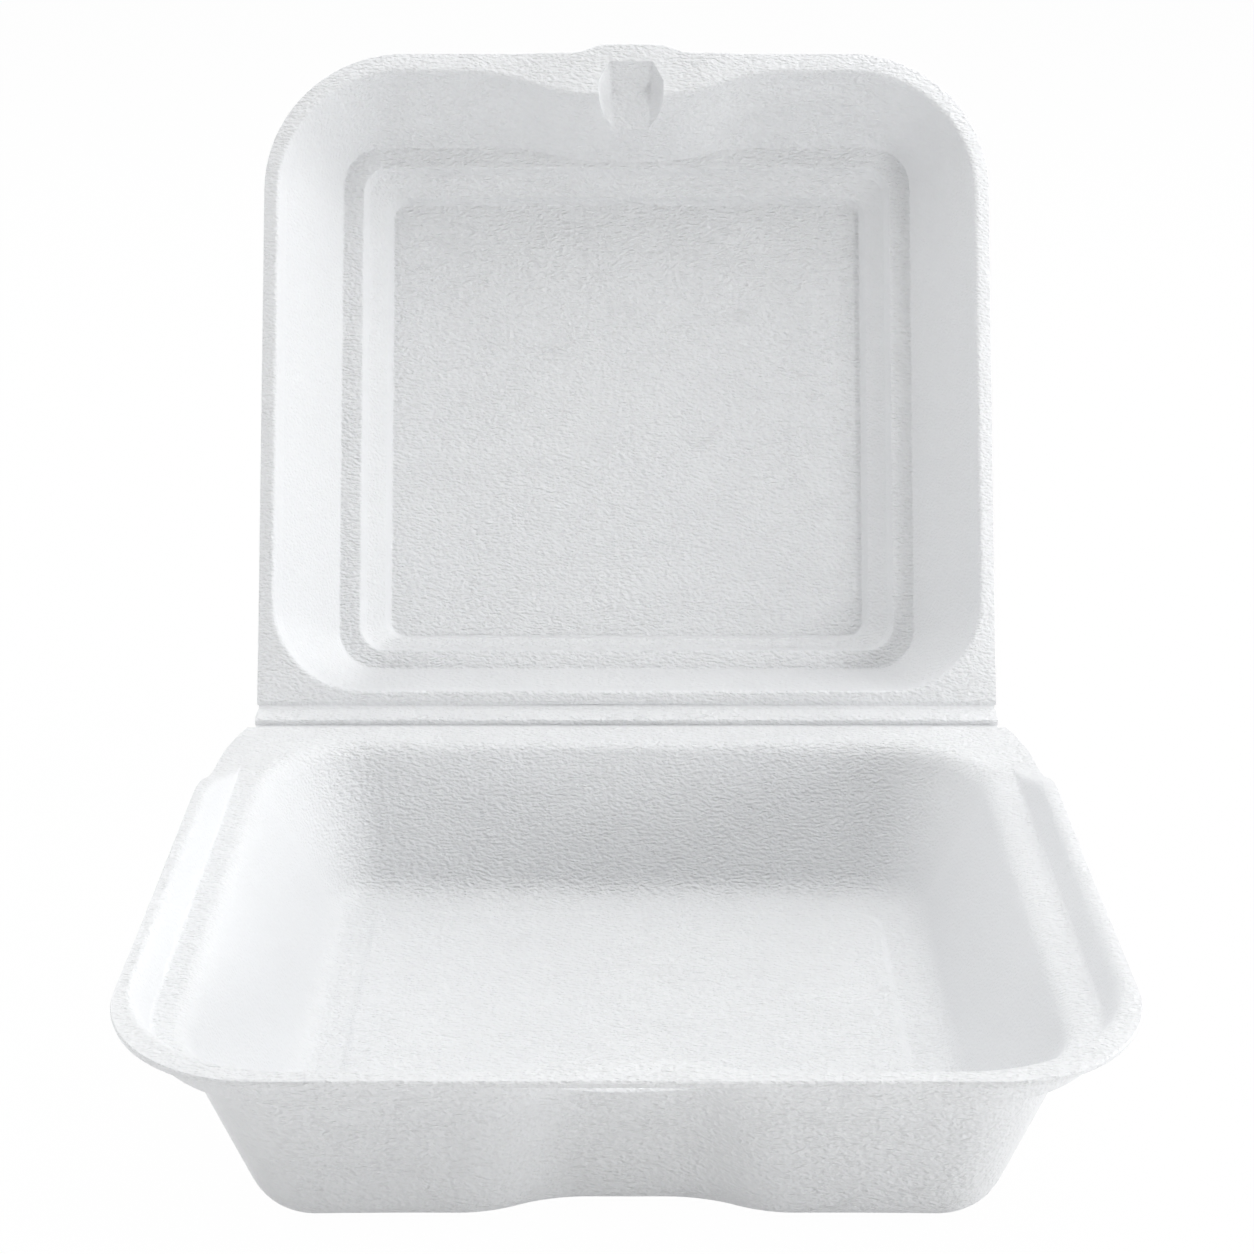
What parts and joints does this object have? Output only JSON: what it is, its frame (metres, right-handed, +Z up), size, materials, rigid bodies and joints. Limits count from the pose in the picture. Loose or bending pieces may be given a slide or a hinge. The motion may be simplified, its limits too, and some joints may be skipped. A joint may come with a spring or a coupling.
{
  "type": "hinged food container",
  "caption": "Open hinged takeaway food box of thin white foam: a deep tray with a raised rim, and a domed lid on a twin-crease hinge with a tab that locks in a front slot.",
  "frame": {"origin": "on the surface it stands on, under the middle of the open container's bounding box", "axes": "+Z up, the front edge with the slot faces -Y, the hinge runs along X and the open lid leans back towards +Y"},
  "size_m": [0.205, 0.2798, 0.1991],
  "materials": {
    "foam": "satin, fine cellular grain"
  },
  "bodies": {
    "tray": {"tray": "foam"},
    "hinge_web": {"hinge_web": "foam"},
    "lid": {"lid": "foam"}
  },
  "joints": [
    {"name": "lower_crease", "type": "hinge", "parent": "tray", "child": "hinge_web", "pos_m": [0, 0.04132, 0.0358], "axis": [1, 0, 0], "range_deg": [-31.8, 58.2]},
    {"name": "upper_crease", "type": "hinge", "parent": "hinge_web", "child": "lid", "pos_m": [0, 0.04738, 0.03866], "axis": [1, 0, 0], "range_deg": [-31.8, 58.2]}
  ],
  "couplings": [
    {"joint": "lower_crease", "follows": "upper_crease", "ratio": 1}
  ]
}
